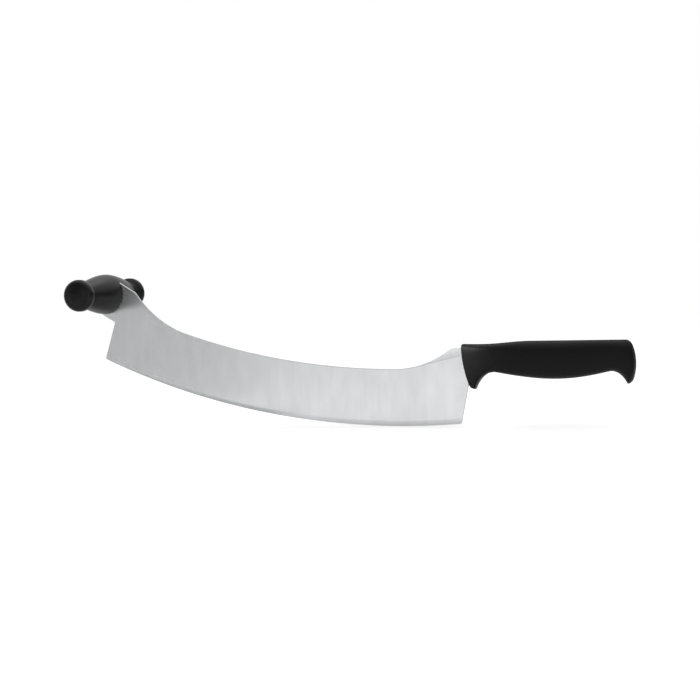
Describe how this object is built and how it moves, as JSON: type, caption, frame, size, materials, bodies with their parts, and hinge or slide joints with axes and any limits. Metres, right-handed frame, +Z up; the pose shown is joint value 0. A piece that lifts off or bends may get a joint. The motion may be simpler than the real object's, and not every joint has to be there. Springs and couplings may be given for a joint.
{
  "type": "cheese knife",
  "caption": "Cheese knife with a long curved steel blade, a moulded handle behind the heel and a barrel-shaped cross grip at the tip, so that both hands can press it down.",
  "frame": {"origin": "middle of the bounding box's footprint, at the level of the lowest point of the cutting edge", "axes": "+X along the main handle from the tip to the butt, +Y square to the blade along the cross grip, +Z up from the cutting edge"},
  "size_m": [0.4948, 0.115, 0.1384],
  "materials": {
    "steel": "satin, brushed across the blade",
    "handle_plastic": "fine moulded texture",
    "grip_plastic": "satin"
  },
  "bodies": {
    "root": {"blade": "steel", "main_handle": "handle_plastic", "cross_grip": "grip_plastic"}
  },
  "joints": []
}
